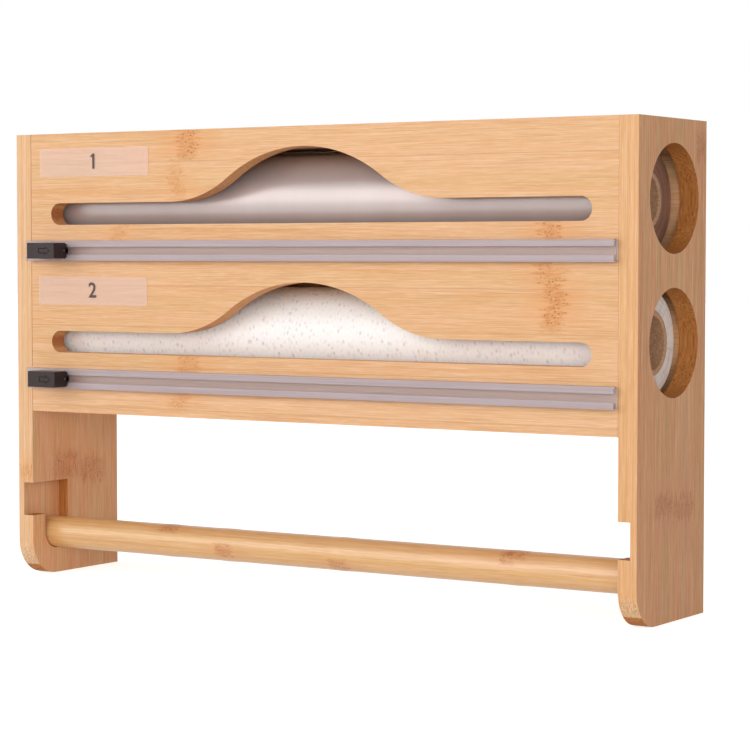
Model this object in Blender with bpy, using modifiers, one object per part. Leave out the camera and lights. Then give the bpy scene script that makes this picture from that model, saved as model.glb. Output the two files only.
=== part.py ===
# Cling film and foil dispenser of bamboo, with two slide cutters and a paper towel rod.
# Metres, +Z up, front towards -Y. The origin is under the middle of the whole part.

from math import acos, asin, cos, pi, sin

import bmesh
import bpy
from mathutils import Matrix, Vector

part_name = "cling_film_dispenser"
cutters_name = "cutters"

# Clearances
seat_gap = 0.0003             # between pieces that rest on, or are glued to, each other
cut_overrun = 0.001           # how far a cutter runs past the face that it opens

# Rolls: nominal 12 inch stock on a paper tube
roll_diameter = 0.0458
core_length = 0.312
film_core_diameter = 0.0286
foil_core_diameter = 0.0262
core_wall = 0.0025
film_core_overhang = 0.0008   # film's tube past its winding, at each end; the foil's is level
film_set_back = 0.0011        # end of the film's tube behind the loading hole
foil_set_back = 0.0037        # end of the foil's tube behind the loading hole
roll_spare_length = 0.010     # how much longer the inside of the case is than a tube

# Case boards
side_thickness = 0.009
front_thickness = 0.009
shelf_thickness = 0.009       # both shelves and the top
back_thickness = 0.007
roll_front_gap = 0.0026
roll_back_gap = 0.0016
lower_bay_headroom = 0.0072   # free height over the film roll
upper_bay_headroom = 0.0031   # free height over the foil roll
towel_space_height = 0.0881   # from the feet to the underside of the bottom shelf
front_skirt = 0.0064          # front board below the bottom shelf
foot_radius = 0.0175          # rounded front corner of each side board

# Loading holes in the right side board
hole_clearance = 0.00085      # round the roll
hole_rise = 0.0003            # hole axis above the axis of the resting roll

# Windows in the front board
window_side_margin = 0.0125
window_height = 0.0105
window_drop = 0.0042          # slot's middle below the roll's axis
hump_height = 0.02445         # hump above the slot's upper edge
hump_top_radius = 0.072
hump_foot_radius = 0.056

# Cutter rails
rail_height = 0.0098
rail_depth = 0.0033
rail_wall = 0.0008
rail_slot = 0.0036
rail_drop = 0.0220            # rail's middle below the roll's axis
tape_thickness = 0.0004
tape_inset = 0.0010           # tape narrower than its rail, at each edge

# Cutter sliders
slider_length = 0.017
slider_height = 0.0077
slider_depth = 0.0103
slider_chamfer = 0.0010
slider_foot_inset = 0.0015    # neck and foot shorter than the knob, at each end
slider_park = 0.0092          # from the rail's end to the slider, at both ends of its travel
blade_thickness = 0.0005
blade_inset = 0.0012          # blade point inside the slit, from each end of the slider
blade_bite = 0.0020           # blade in front of the slider's back face
blade_point = 0.0022          # length of each slanting edge

# Paper towel rod and its grooves
rod_diameter = 0.0154
rod_height = 0.0205
rod_set_back = 0.0179         # rod axis behind the front
rod_lift = 0.0175             # from its seat up to the level of the entry
rod_end_gap = 0.0005
seat_clearance = 0.00085      # groove's leg, each side of the rod
entry_clearance = 0.0003      # entry, above and below the lifted rod
groove_floor = 0.0032         # wood left behind the groove

# Stickers
label_length = 0.0667
label_height = 0.0138
label_thickness = 0.00015
upper_label_inset = 0.0062    # from the side board; stuck on by hand, so not quite level
lower_label_inset = 0.0052
label_rise = 0.0206           # sticker's middle above the roll's axis

# Dowels that join the boards to the side boards
dowel_diameter = 0.005
dowel_cover = 0.0035          # wood left behind a dowel in the side board
dowel_bite = 0.0125           # dowel in the end of a board
dowel_edge = 0.011            # dowel from the long edge of a shelf

# Hangers in the back board
hanger_width = 0.018
hanger_height = 0.044
hanger_thickness = 0.0012
hanger_corner = 0.004
hanger_inset = 0.051          # hanger's middle from the side board
hanger_below_top = 0.036
keyhole_head_radius = 0.00425
keyhole_neck_radius = 0.0022
keyhole_rise = 0.010
keyhole_drop = 0.004          # round part of the keyhole below the plate's middle
pocket_margin = 0.002         # pocket behind the keyhole, past its outline
pocket_depth = 0.0050         # from the back face
hanger_screw_spacing = 0.034
screw_radius = 0.0012
screw_head_radius = 0.0024
screw_length = 0.0052
screw_tip = 0.0014

# Smoothness of round shapes
hole_segments = 96
roll_segments = 64
arc_segments = 20
small_segments = 16

# Sizes that follow
roll_radius = roll_diameter / 2
inner_width = core_length + roll_spare_length
case_width = inner_width + 2 * side_thickness
case_depth = front_thickness + roll_front_gap + roll_diameter + roll_back_gap + back_thickness
slider_reach = seat_gap + tape_thickness + seat_gap + rail_depth + seat_gap + slider_depth
front_y = (slider_reach - case_depth) / 2
back_y = front_y + case_depth
board_length = inner_width - 2 * seat_gap

bottom_shelf_top = towel_space_height + shelf_thickness
middle_shelf_top = bottom_shelf_top + roll_diameter + lower_bay_headroom + shelf_thickness
top_underside = middle_shelf_top + roll_diameter + upper_bay_headroom
case_height = top_underside + shelf_thickness
front_bottom = towel_space_height - front_skirt
roll_y = front_y + front_thickness + roll_front_gap + roll_radius
film_axis_z = bottom_shelf_top + seat_gap + roll_radius
foil_axis_z = middle_shelf_top + seat_gap + roll_radius
hole_radius = roll_radius + hole_clearance

rod_radius = rod_diameter / 2
rod_y = front_y + rod_set_back
groove_depth = side_thickness - groove_floor
groove_half = rod_radius + seat_clearance
entry_low = rod_height + rod_lift - rod_radius - entry_clearance
entry_high = rod_height + rod_lift + rod_radius + entry_clearance
seat_low = rod_height - rod_radius - seat_gap

rail_back_y = front_y - seat_gap - tape_thickness - seat_gap
rail_front_y = rail_back_y - rail_depth
hanger_x = inner_width / 2 - hanger_inset
hanger_z = case_height - hanger_below_top
slider_travel = board_length - 2 * slider_park - slider_length

# Which way each side board lies from the middle
sides = {"left": -1, "right": 1}
tiers = {"upper": foil_axis_z, "lower": film_axis_z}

# Colour, roughness, metallic value and transmission of each finish
finishes = {
    "bamboo": ((0.80, 0.54, 0.31), 0.48, 0.0, 0.0),
    "dark_bamboo": ((0.62, 0.38, 0.19), 0.60, 0.0, 0.0),
    "varnished_bamboo": ((0.72, 0.40, 0.13), 0.30, 0.0, 0.0),
    "beech": ((0.74, 0.55, 0.36), 0.65, 0.0, 0.0),
    "frosted_plastic": ((0.60, 0.54, 0.54), 0.35, 0.0, 0.5),
    "black_plastic": ((0.020, 0.017, 0.017), 0.38, 0.0, 0.0),
    "white_tape": ((0.85, 0.84, 0.82), 0.80, 0.0, 0.0),
    "steel": ((0.62, 0.62, 0.62), 0.30, 1.0, 0.0),
    "kraft_paper": ((0.45, 0.32, 0.20), 0.85, 0.0, 0.0),
    "foil": ((0.86, 0.85, 0.84), 0.35, 1.0, 0.0),
    "film": ((0.86, 0.86, 0.86), 0.30, 0.0, 0.0),
    "clear_sticker": ((0.86, 0.72, 0.64), 0.40, 0.0, 0.3),
}

quarter_turn = pi / 2
along_x = (0, quarter_turn, 0)               # a piece's own Z along +X
along_y = (-quarter_turn, 0, 0)              # a piece's own Z along +Y
facing_x = (quarter_turn, 0, quarter_turn)   # an outline in Y and Z, thick along X
facing_y = (quarter_turn, 0, 0)              # an outline in X and Z, thick along Y


def clear_scene():
    for obj in list(bpy.data.objects):
        bpy.data.objects.remove(obj, do_unlink=True)
    for collection in list(bpy.data.collections):
        bpy.data.collections.remove(collection)


def new_collection(name):
    collection = bpy.data.collections.new(name)
    bpy.context.scene.collection.children.link(collection)
    return collection


def finish_of(name, finish):
    colour, roughness, metallic, transmission = finishes[finish]
    material = bpy.data.materials.new(name)
    material.use_nodes = True
    shader = material.node_tree.nodes["Principled BSDF"]
    shader.inputs["Base Color"].default_value = (*colour, 1.0)
    shader.inputs["Roughness"].default_value = roughness
    shader.inputs["Metallic"].default_value = metallic
    shader.inputs["Transmission Weight"].default_value = transmission
    material.diffuse_color = (*colour, 1.0)
    return material


# Shapes. Each of these returns an object that is in no collection yet.

def mesh_object(name, form, place, turn=(0, 0, 0)):
    mesh = bpy.data.meshes.new(name)
    form.to_mesh(mesh)
    form.free()
    obj = bpy.data.objects.new(name, mesh)
    obj.location = place
    obj.rotation_euler = turn
    return obj


def box(name, low, high):
    low = Vector(low)
    high = Vector(high)
    form = bmesh.new()
    bmesh.ops.create_cube(form, size=1)
    bmesh.ops.scale(form, vec=high - low, verts=form.verts)
    return mesh_object(name, form, (low + high) / 2)


def cone(name, low_radius, high_radius, length, place, turn, segments):
    form = bmesh.new()
    bmesh.ops.create_cone(form, cap_ends=True, segments=segments,
                          radius1=low_radius, radius2=high_radius, depth=length)
    return mesh_object(name, form, place, turn)


def cylinder(name, radius, length, place, turn, segments):
    return cone(name, radius, radius, length, place, turn, segments)


# A flat outline as a filled curve, made a mesh whose caps are welded to its sides
def plate(name, points, thickness, place, turn):
    curve = bpy.data.curves.new(name, "CURVE")
    curve.dimensions = "2D"
    curve.fill_mode = "BOTH"
    curve.extrude = thickness / 2
    spline = curve.splines.new("POLY")
    spline.points.add(len(points) - 1)
    for point, (across, up) in zip(spline.points, points):
        point.co = (across, up, 0, 1)
    spline.use_cyclic_u = True
    outline = bpy.data.objects.new(name + "_outline", curve)
    bpy.context.scene.collection.objects.link(outline)
    evaluated = outline.evaluated_get(bpy.context.evaluated_depsgraph_get())
    mesh = bpy.data.meshes.new_from_object(evaluated)
    bpy.data.objects.remove(outline, do_unlink=True)
    bpy.data.curves.remove(curve)
    form = bmesh.new()
    form.from_mesh(mesh)
    bpy.data.meshes.remove(mesh)
    bmesh.ops.remove_doubles(form, verts=form.verts, dist=seat_gap / 100)
    return mesh_object(name, form, place, turn)


# A profile turned round its own Z. It runs down the outer side, from top to bottom.
def turned(name, profile, closed, place, turn, segments):
    form = bmesh.new()
    verts = [form.verts.new((radius, 0, height)) for radius, height in profile]
    for first, second in zip(verts, verts[1:]):
        form.edges.new((first, second))
    if closed:
        form.edges.new((verts[-1], verts[0]))
    obj = mesh_object(name, form, place, turn)
    screw = obj.modifiers.new("turn", "SCREW")
    screw.steps = segments
    screw.render_steps = segments
    screw.use_merge_vertices = True
    screw.merge_threshold = seat_gap / 100
    return obj


def tube(name, outer_radius, inner_radius, length, place):
    half = length / 2
    profile = [(outer_radius, half), (outer_radius, -half), (inner_radius, -half), (inner_radius, half)]
    return turned(name, profile, True, place, along_x, roll_segments)


def arc(centre, radius, start, end, steps):
    points = []
    for step in range(steps + 1):
        angle = start + (end - start) * step / steps
        points.append((centre[0] + radius * cos(angle), centre[1] + radius * sin(angle)))
    return points


def add(obj, finish):
    obj.data.materials.append(finish_of(obj.name, finish))
    bpy.data.collections[part_name].objects.link(obj)
    return obj


def cut(obj, cutter):
    cutter.name = obj.name + "_cutter"
    cutter.display_type = "WIRE"
    cutter.hide_render = True
    bpy.data.collections[cutters_name].objects.link(cutter)
    boolean = obj.modifiers.new("cut", "BOOLEAN")
    boolean.operation = "DIFFERENCE"
    boolean.solver = "EXACT"
    boolean.object = cutter


def smooth(obj):
    obj.data.shade_smooth()
    obj.data.set_sharp_from_angle(angle=quarter_turn / 3)
    return obj


# Where the dowels lie: the board that each one enters, its depth and its height
def dowel_places():
    shelf_front = front_y + front_thickness
    shelf_back = back_y - back_thickness
    rows = []
    for board, top in (("top_panel", case_height), ("middle_shelf", middle_shelf_top),
                       ("bottom_shelf", bottom_shelf_top)):
        rows.append((board, "front", shelf_front + dowel_edge, top - shelf_thickness / 2))
        rows.append((board, "back", shelf_back - dowel_edge, top - shelf_thickness / 2))
    front_middle = front_y + front_thickness / 2
    rows.append(("front_panel", "upper", front_middle, foil_axis_z + label_rise))
    rows.append(("front_panel", "lower", front_middle, film_axis_z - rail_drop))
    return rows


def dowel_hole(side, depth, height):
    reach = side_thickness - dowel_cover + dowel_bite
    middle = sides[side] * (inner_width / 2 + side_thickness - dowel_cover - reach / 2)
    radius = dowel_diameter / 2 + seat_gap
    return cylinder("dowel_hole", radius, reach, (middle, depth, height), along_x, small_segments)


# The groove that the rod drops into: in from the front, then down to a round seat
def groove(side):
    front = front_y - cut_overrun
    back = rod_y + groove_half
    seat = arc((rod_y, seat_low + groove_half), groove_half, 0, -pi, arc_segments)
    points = [(front, entry_high), (front, entry_low), (rod_y - groove_half, entry_low)]
    points += reversed(seat)
    points.append((back, entry_high))
    depth = groove_depth + cut_overrun
    middle = sides[side] * (inner_width / 2 - cut_overrun + depth / 2)
    return plate("groove", points, depth, (middle, 0, 0), facing_x)


def side_panel(side):
    corner = arc((front_y + foot_radius, foot_radius), foot_radius, pi, 3 * quarter_turn, arc_segments)
    points = [(back_y, 0), (back_y, case_height), (front_y, case_height)] + corner
    middle = sides[side] * (inner_width + side_thickness) / 2
    panel = plate(side + "_side_panel", points, side_thickness, (middle, 0, 0), facing_x)
    add(panel, "bamboo")
    cut(panel, groove(side))
    for board, end, depth, height in dowel_places():
        cut(panel, dowel_hole(side, depth, height))
    return panel


# The rolls are loaded through two round holes in the right side board
def loading_holes(panel):
    length = side_thickness + 2 * cut_overrun
    middle = (inner_width + side_thickness) / 2
    for axis_z in tiers.values():
        place = (middle, roll_y, axis_z + hole_rise)
        cut(panel, cylinder("loading_hole", hole_radius, length, place, along_x, hole_segments))


# A long slot with round ends and a hump in its upper edge, round (0, 0) at the slot's middle
def window_outline():
    half_length = board_length / 2 - window_side_margin
    half_height = window_height / 2
    straight = half_length - half_height
    swing = acos(1 - hump_height / (hump_top_radius + hump_foot_radius))
    hump_half = (hump_top_radius + hump_foot_radius) * sin(swing)
    top_centre = (0, half_height + hump_height - hump_top_radius)
    foot_z = half_height + hump_foot_radius
    points = arc((straight, 0), half_height, -quarter_turn, quarter_turn, arc_segments)
    points += arc((hump_half, foot_z), hump_foot_radius, -quarter_turn, -quarter_turn - swing,
                  arc_segments)
    points += arc(top_centre, hump_top_radius, quarter_turn - swing, quarter_turn + swing,
                  2 * arc_segments)[1:]
    points += arc((-hump_half, foot_z), hump_foot_radius, swing - quarter_turn, -quarter_turn,
                  arc_segments)[1:]
    points += arc((-straight, 0), half_height, quarter_turn, 3 * quarter_turn, arc_segments)
    return points


def front_panel():
    panel = box("front_panel", (-board_length / 2, front_y, front_bottom),
                (board_length / 2, front_y + front_thickness, case_height))
    add(panel, "bamboo")
    for axis_z in tiers.values():
        place = (0, front_y + front_thickness / 2, axis_z - window_drop)
        thickness = front_thickness + 2 * cut_overrun
        cut(panel, plate("window", window_outline(), thickness, place, facing_y))
    cut_dowel_ends(panel)


def cut_dowel_ends(board):
    for name, end, depth, height in dowel_places():
        if name == board.name:
            for side in sides:
                cut(board, dowel_hole(side, depth, height))


def shelf(name, top, back):
    board = box(name, (-board_length / 2, front_y + front_thickness + seat_gap, top - shelf_thickness),
                (board_length / 2, back, top))
    add(board, "bamboo")
    cut_dowel_ends(board)


def dowels():
    length = side_thickness - dowel_cover + dowel_bite - 2 * seat_gap
    middle = inner_width / 2 + side_thickness - dowel_cover - seat_gap - length / 2
    for side, way in sides.items():
        for board, end, depth, height in dowel_places():
            name = "_".join((board, side, end, "dowel"))
            dowel = cylinder(name, dowel_diameter / 2, length, (way * middle, depth, height), along_x,
                             small_segments)
            add(smooth(dowel), "beech")


def back_panel():
    low = towel_space_height
    panel = box("back_panel", (-board_length / 2, back_y - back_thickness, low),
                (board_length / 2, back_y, top_underside - seat_gap))
    add(panel, "dark_bamboo")
    for way in sides.values():
        hanger_recess(panel, way * hanger_x)


def rounded_rectangle(width, height, radius):
    points = []
    for across, up, start in ((1, 1, 0), (-1, 1, quarter_turn), (-1, -1, pi), (1, -1, 3 * quarter_turn)):
        centre = (across * (width / 2 - radius), up * (height / 2 - radius))
        points += arc(centre, radius, start, start + quarter_turn, arc_segments // 3)
    return points


def keyhole_outline(head_radius, neck_radius, rise):
    meet = asin(neck_radius / head_radius)
    points = arc((0, 0), head_radius, quarter_turn + meet, 5 * quarter_turn - meet, small_segments)
    points += arc((0, rise), neck_radius, 0, pi, small_segments // 2)
    return points


def screw_places(x):
    return [(x, hanger_z + way * hanger_screw_spacing / 2) for way in (-1, 1)]


def hanger_recess(panel, x):
    depth = hanger_thickness + seat_gap
    outline = rounded_rectangle(hanger_width + 2 * seat_gap, hanger_height + 2 * seat_gap,
                                hanger_corner + seat_gap)
    middle = back_y + cut_overrun - (depth + cut_overrun) / 2
    cut(panel, plate("recess", outline, depth + cut_overrun, (x, middle, hanger_z), facing_y))
    reach = keyhole_head_radius + pocket_margin
    low = hanger_z - keyhole_drop - reach
    high = hanger_z - keyhole_drop + keyhole_rise + reach
    cut(panel, box("pocket", (x - reach, back_y - pocket_depth, low),
                   (x + reach, back_y + cut_overrun, high)))
    bore_depth = seat_gap + screw_length
    for across, up in screw_places(x):
        place = (across, back_y - bore_depth / 2, up)
        cut(panel, cylinder("bore", screw_radius + seat_gap, bore_depth, place, along_y, small_segments))


def hanger_plate(side):
    x = sides[side] * hanger_x
    outline = rounded_rectangle(hanger_width, hanger_height, hanger_corner)
    middle = back_y - hanger_thickness / 2
    place = (x, middle, hanger_z)
    hanger = plate(side + "_hanger_plate", outline, hanger_thickness, place, facing_y)
    add(hanger, "steel")
    thickness = hanger_thickness + 2 * cut_overrun
    keyhole = keyhole_outline(keyhole_head_radius, keyhole_neck_radius, keyhole_rise)
    cut(hanger, plate("keyhole", keyhole, thickness, (x, middle, hanger_z - keyhole_drop), facing_y))
    slope = (screw_head_radius - screw_radius) / hanger_thickness
    inner = screw_radius + 2 * seat_gap - slope * cut_overrun
    outer = screw_head_radius + 2 * seat_gap + slope * cut_overrun
    for across, up in screw_places(x):
        place = (across, middle, up)
        cut(hanger, cone("countersink", inner, outer, thickness, place, along_y, small_segments))


def hanger_screws(side):
    x = sides[side] * hanger_x
    profile = [(0, 0), (screw_head_radius, 0), (screw_radius, -hanger_thickness),
               (screw_radius, screw_tip - screw_length), (0, -screw_length)]
    for end, (across, up) in zip(("lower", "upper"), screw_places(x)):
        name = "_".join((side, "hanger", end, "screw"))
        add(smooth(turned(name, profile, False, (across, back_y, up), along_y, small_segments)), "steel")


# A channel with two lips. The slider's neck runs in the slot between them.
def cutter_rail(tier):
    rail_z = tiers[tier] - rail_drop
    half = rail_height / 2
    inner = half - rail_wall
    lip = rail_slot / 2
    floor = rail_back_y - rail_wall
    ledge = rail_front_y + rail_wall
    upper_half = [(rail_back_y, half), (rail_front_y, half), (rail_front_y, lip), (ledge, lip),
                  (ledge, inner), (floor, inner)]
    points = upper_half + [(depth, -height) for depth, height in reversed(upper_half)]
    rail = plate(tier + "_cutter_rail", points, board_length, (0, 0, rail_z), facing_x)
    add(rail, "frosted_plastic")


def rail_tape(tier):
    rail_z = tiers[tier] - rail_drop
    half = rail_height / 2 - tape_inset
    add(box(tier + "_rail_tape", (-board_length / 2, front_y - seat_gap - tape_thickness, rail_z - half),
            (board_length / 2, front_y - seat_gap, rail_z + half)), "white_tape")


# The slider's own origin is at its left end on the rail's middle line, on the rail's front face
def cutter_slider(tier):
    knob_back = -seat_gap
    knob_front = knob_back - slider_depth
    half = slider_height / 2
    neck = rail_slot / 2 - seat_gap
    foot_front = rail_wall + seat_gap
    foot_back = rail_depth - rail_wall - seat_gap
    foot = rail_height / 2 - rail_wall - seat_gap
    lower_half = [(knob_front, -half), (knob_back - slider_chamfer, -half),
                  (knob_back, slider_chamfer - half), (knob_back, -neck), (foot_front, -neck),
                  (foot_front, -foot), (foot_back, -foot)]
    points = lower_half + [(depth, -height) for depth, height in reversed(lower_half)]
    place = slider_place(tier)
    middle = place + Vector((slider_length / 2, 0, 0))
    slider = plate(tier + "_cutter_slider", points, slider_length, middle, facing_x)
    add(slider, "black_plastic")
    margin = seat_gap + cut_overrun
    blade_half = blade_thickness / 2 + seat_gap
    low = place + Vector((-margin, -blade_bite - 2 * seat_gap, -blade_half))
    high = place + Vector((slider_length + margin, foot_back - seat_gap, blade_half))
    cut(slider, box("blade_slot", low, high))
    for outer, inner in ((-margin, slider_foot_inset),
                         (slider_length - slider_foot_inset, slider_length + margin)):
        low = place + Vector((outer, knob_back, -foot - margin))
        high = place + Vector((inner, foot_back + margin, foot + margin))
        cut(slider, box("foot_end", low, high))


def slider_place(tier):
    return Vector((slider_park - board_length / 2, rail_front_y, tiers[tier] - rail_drop))


# A flat blade with a point at each end, held in the slider's neck and sunk in its slit
def cutter_blade(tier):
    front = -blade_bite - seat_gap
    back = rail_depth - rail_wall - 3 * seat_gap
    middle = (front + back) / 2
    reach = slider_length / 2 - blade_inset
    shoulder = reach - blade_point
    points = [(-reach, middle), (-shoulder, front), (shoulder, front), (reach, middle), (shoulder, back),
              (-shoulder, back)]
    place = slider_place(tier) + Vector((slider_length / 2, 0, 0))
    add(plate(tier + "_cutter_blade", points, blade_thickness, place, (0, 0, 0)), "steel")


def roll(name, core_radius, overhang, set_back, axis_z):
    middle = inner_width / 2 - set_back - core_length / 2
    place = (middle, roll_y, axis_z)
    core = tube(name + "_core", core_radius, core_radius - core_wall, core_length, place)
    add(smooth(core), "kraft_paper")
    length = core_length - 2 * overhang
    winding = tube(name + "_winding", roll_radius, core_radius + seat_gap, length, place)
    add(smooth(winding), name)


def towel_rod():
    length = inner_width + 2 * groove_depth - 2 * rod_end_gap
    rod = cylinder("towel_rod", rod_radius, length, (0, rod_y, rod_height), along_x, roll_segments)
    add(smooth(rod), "varnished_bamboo")


def label(tier, inset):
    middle = tiers[tier] + label_rise
    left = -inner_width / 2 + inset
    add(box(tier + "_label", (left, front_y - seat_gap - label_thickness, middle - label_height / 2),
            (left + label_length, front_y - seat_gap, middle + label_height / 2)), "clear_sticker")


def build():
    clear_scene()
    new_collection(part_name)
    new_collection(cutters_name)
    side_panel("left")
    loading_holes(side_panel("right"))
    front_panel()
    back_panel()
    shelf("top_panel", case_height, back_y)
    for name, top in (("middle_shelf", middle_shelf_top), ("bottom_shelf", bottom_shelf_top)):
        shelf(name, top, back_y - back_thickness - seat_gap)
    dowels()
    for side in sides:
        hanger_plate(side)
        hanger_screws(side)
    for tier in tiers:
        rail_tape(tier)
        cutter_rail(tier)
        cutter_slider(tier)
        cutter_blade(tier)
    label("upper", upper_label_inset)
    label("lower", lower_label_inset)
    roll("foil", foil_core_diameter / 2, 0, foil_set_back, foil_axis_z)
    roll("film", film_core_diameter / 2, film_core_overhang, film_set_back, film_axis_z)
    towel_rod()
    print("slider travel", round(slider_travel, 5), "case", round(case_width, 5), round(case_depth, 5),
          round(case_height, 5))


build()
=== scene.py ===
# Bamboo dispenser for cling film and foil, with two slide cutters and a rod for paper towels.
# Metres, +Z up, front towards -Y, as in the CAD model.

import random
from math import cos, exp, pi, radians, sin

import bpy
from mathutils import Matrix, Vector


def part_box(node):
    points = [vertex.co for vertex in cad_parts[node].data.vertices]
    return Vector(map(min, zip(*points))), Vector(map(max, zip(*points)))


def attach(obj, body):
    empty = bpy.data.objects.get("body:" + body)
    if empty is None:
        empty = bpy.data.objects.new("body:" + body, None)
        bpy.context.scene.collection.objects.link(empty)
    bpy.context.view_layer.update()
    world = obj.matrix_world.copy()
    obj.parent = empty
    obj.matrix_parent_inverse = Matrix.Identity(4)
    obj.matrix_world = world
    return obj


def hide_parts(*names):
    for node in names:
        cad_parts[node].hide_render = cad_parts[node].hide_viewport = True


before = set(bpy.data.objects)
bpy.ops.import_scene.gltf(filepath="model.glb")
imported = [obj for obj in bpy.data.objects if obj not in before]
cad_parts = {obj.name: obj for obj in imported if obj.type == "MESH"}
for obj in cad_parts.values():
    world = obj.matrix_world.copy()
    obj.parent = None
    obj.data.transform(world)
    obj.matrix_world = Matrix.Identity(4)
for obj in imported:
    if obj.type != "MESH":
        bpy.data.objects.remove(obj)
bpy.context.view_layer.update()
print("frame loaded")

mm = 0.001
mergeDistance = 0.002 * mm
flatAngle = radians(0.5)      # faces that meet closer than this are made one
sharpAngle = radians(30)      # edges sharper than this are eased
turnedAngle = radians(40)     # edges of a turned piece sharper than this stay crisp
endless = 1000                # mm, so wide that a pattern stays the same that way


# Selecting and modifying, as by hand

def makeActive(piece):
    bpy.ops.object.select_all(action="DESELECT")
    piece.select_set(True)
    bpy.context.view_layer.objects.active = piece


def applyModifier(piece, kind, **settings):
    makeActive(piece)
    modifier = piece.modifiers.new(kind, kind)
    for name, value in settings.items():
        setattr(modifier, name, value)
    bpy.ops.object.modifier_apply(modifier=modifier.name)


def applyPlace(piece):
    makeActive(piece)
    bpy.ops.object.transform_apply(location=True, rotation=True, scale=True)


# Rounds the sharp edges and leaves the flat faces flat. Loop slide would push some corners
# a little past the faces.
def easeEdges(piece, width, segments=3):
    makeActive(piece)
    bpy.ops.object.shade_smooth_by_angle(angle=sharpAngle)
    applyModifier(piece, "BEVEL", width=width, segments=segments, limit_method="ANGLE",
                  angle_limit=sharpAngle, harden_normals=True, loop_slide=False)


# A separate mesh with the shape of a CAD node, its loose triangles merged into whole faces
def copyNode(node, name):
    piece = bpy.data.objects.new(name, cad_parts[node].data.copy())
    bpy.context.collection.objects.link(piece)
    makeActive(piece)
    bpy.ops.mesh.customdata_custom_splitnormals_clear()
    bpy.ops.object.mode_set(mode="EDIT")
    bpy.ops.mesh.select_all(action="SELECT")
    bpy.ops.mesh.remove_doubles(threshold=mergeDistance)
    bpy.ops.mesh.dissolve_limited(angle_limit=flatAngle)
    bpy.ops.object.mode_set(mode="OBJECT")
    return piece


# A line of vertices through the points, drawn by extruding one vertex
def drawLine(name, points):
    bpy.ops.object.select_all(action="DESELECT")
    bpy.ops.mesh.primitive_plane_add(size=mm, location=points[0])
    piece = bpy.context.active_object
    piece.name = name
    applyPlace(piece)
    bpy.ops.object.mode_set(mode="EDIT")
    bpy.ops.mesh.merge(type="CENTER")
    for start, end in zip(points, points[1:]):
        bpy.ops.mesh.extrude_region_move(TRANSFORM_OT_translate={"value": Vector(end) - Vector(start)})
    bpy.ops.mesh.select_all(action="SELECT")
    bpy.ops.mesh.remove_doubles(threshold=mergeDistance)
    bpy.ops.object.mode_set(mode="OBJECT")
    return piece


# Spins a profile of (place along the axis, radius) round an axis through the centre
def turnProfile(name, profile, centre, axis, outward, steps):
    centre, axis, outward = Vector(centre), Vector(axis), Vector(outward)
    piece = drawLine(name, [centre + axis * along + outward * radius for along, radius in profile])
    bpy.ops.object.mode_set(mode="EDIT")
    bpy.ops.mesh.select_all(action="SELECT")
    bpy.ops.mesh.spin(steps=steps, angle=2 * pi, center=centre, axis=axis)
    bpy.ops.mesh.select_all(action="SELECT")
    bpy.ops.mesh.remove_doubles(threshold=mergeDistance)
    bpy.ops.mesh.normals_make_consistent(inside=False)
    bpy.ops.object.mode_set(mode="OBJECT")
    bpy.ops.object.shade_smooth_by_angle(angle=turnedAngle)
    return piece


# Gives a finished piece its material and the body it rides on, and hides the nodes it stands for
def settle(piece, material, body, slot, *nodes):
    piece.data.materials.clear()
    piece.data.materials.append(material)
    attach(piece, body)
    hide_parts(*nodes)


# Materials

def hexColour(text):
    channels = [int(text[place:place + 2], 16) / 255 for place in (0, 2, 4)]
    return (*[c / 12.92 if c <= 0.04045 else ((c + 0.055) / 1.055) ** 2.4 for c in channels], 1)


def newMaterial(name, **sockets):
    material = bpy.data.materials.new(name)
    material.use_nodes = True
    tree = material.node_tree
    shader = tree.nodes["Principled BSDF"]
    for socket, value in sockets.items():
        shader.inputs[socket.replace("_", " ")].default_value = value
    return material, tree, shader


def firstOutput(node):
    return next(output for output in node.outputs if output.enabled)


# Adds a node with its settings, and links or sets the sockets that are named or numbered
def addNode(tree, kind, sockets=None, **settings):
    node = tree.nodes.new("ShaderNode" + kind)
    for name, value in settings.items():
        setattr(node, name, value)
    for socket, value in (sockets or {}).items():
        if isinstance(value, bpy.types.Node):
            value = firstOutput(value)
        if isinstance(value, bpy.types.NodeSocket):
            tree.links.new(value, node.inputs[socket])
        else:
            node.inputs[socket].default_value = value
    return node


def addLink(tree, node, socket):
    tree.links.new(firstOutput(node), socket)


def linkFinish(tree, shader, colour, roughness, relief):
    for socket, node in (("Base Color", colour), ("Roughness", roughness), ("Normal", relief)):
        addLink(tree, node, shader.inputs[socket])


# A pattern at its real size in mm along each of the three directions
def sizePattern(tree, kind, place, size, **sockets):
    scale = [1 / (side * mm) for side in size]
    spread = addNode(tree, "VectorMath", {0: place, 1: scale}, operation="MULTIPLY")
    return addNode(tree, kind, {"Vector": spread, "Scale": 1, **sockets}).outputs[0]


# How squarely a face looks along an axis, from 0 to 1
def facingAlong(tree, axis):
    facing = addNode(tree, "SeparateXYZ", {0: addNode(tree, "TexCoord").outputs["Normal"]})
    return addNode(tree, "Math", {0: facing.outputs[axis]}, operation="ABSOLUTE")


# Lays colours over each other. Each coat has a pattern, the values at which it starts and is full,
# how strongly it then covers, and its colour.
def layColours(tree, colour, coats):
    for pattern, start, full, share, tint in coats:
        mask = addNode(tree, "MapRange", {0: pattern, 1: start, 2: full, 3: 0, 4: share})
        colour = addNode(tree, "Mix", {0: mask, 6: colour, 7: hexColour(tint)}, data_type="RGBA")
    return colour


def fillRamp(node, stops):
    ramp = node.color_ramp
    while len(ramp.elements) < len(stops):
        ramp.elements.new(0.5)
    for element, (place, colour) in zip(ramp.elements, stops):
        element.position = place
        element.color = hexColour(colour)


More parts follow.
